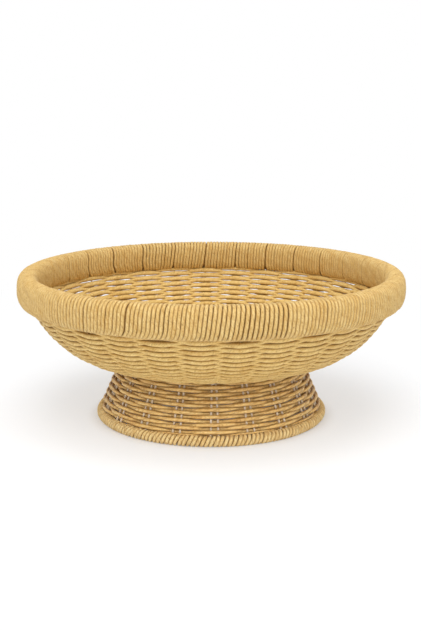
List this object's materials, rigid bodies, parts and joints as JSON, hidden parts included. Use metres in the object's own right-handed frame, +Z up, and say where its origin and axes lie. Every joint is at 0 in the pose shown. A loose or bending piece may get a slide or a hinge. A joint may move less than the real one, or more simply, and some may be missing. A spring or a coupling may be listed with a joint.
{
  "type": "woven footed bowl",
  "caption": "Round footed bowl for fruit, woven from straw cord over bent reeds, with a thick wrapped rim and a flared woven foot on a wrapped ring.",
  "frame": {"origin": "centre of the foot's base, on the surface the bowl stands on", "axes": "+Z up, along the bowl's axis; the front of the picture is towards -Y"},
  "size_m": [0.4, 0.3996, 0.1551],
  "materials": {
    "straw_cord": "matte twisted straw",
    "foot_cord": "satin twisted straw",
    "reed": "satin peeled reed",
    "straw_roll": "matte, rolled dry straw"
  },
  "bodies": {
    "root": {"rim_core": "straw_roll", "rim_wrap": "straw_cord", "bowl_stake_01": "reed", "bowl_stake_02": "reed", "bowl_stake_03": "reed", "bowl_stake_04": "reed", "bowl_stake_05": "reed", "bowl_stake_06": "reed", "bowl_stake_07": "reed", "bowl_stake_08": "reed", "bowl_stake_09": "reed", "bowl_stake_10": "reed", "bowl_stake_11": "reed", "bowl_stake_12": "reed", "bowl_stake_13": "reed", "bowl_stake_14": "reed", "bowl_stake_15": "reed", "bowl_stake_16": "reed", "bowl_weaver_01": "straw_cord", "bowl_weaver_02": "straw_cord", "bowl_weaver_03": "straw_cord", "bowl_weaver_04": "straw_cord", "bowl_weaver_05": "straw_cord", "bowl_weaver_06": "straw_cord", "bowl_weaver_07": "straw_cord", "bowl_weaver_08": "straw_cord", "bowl_weaver_09": "straw_cord", "bowl_weaver_10": "straw_cord", "bowl_weaver_11": "straw_cord", "floor_mat": "straw_cord", "foot_hoop": "reed", "foot_stake_01": "reed", "foot_stake_02": "reed", "foot_stake_03": "reed", "foot_stake_04": "reed", "foot_stake_05": "reed", "foot_stake_06": "reed", "foot_stake_07": "reed", "foot_stake_08": "reed", "foot_stake_09": "reed", "foot_stake_10": "reed", "foot_stake_11": "reed", "foot_stake_12": "reed", "foot_stake_13": "reed", "foot_stake_14": "reed", "foot_stake_15": "reed", "foot_stake_16": "reed", "foot_stake_17": "reed", "foot_stake_18": "reed", "foot_stake_19": "reed", "foot_weaver_01": "foot_cord", "foot_weaver_02": "foot_cord", "foot_weaver_03": "foot_cord", "foot_weaver_04": "foot_cord", "foot_weaver_05": "foot_cord", "foot_ring_core": "straw_roll", "foot_ring_wrap": "foot_cord"}
  },
  "joints": []
}
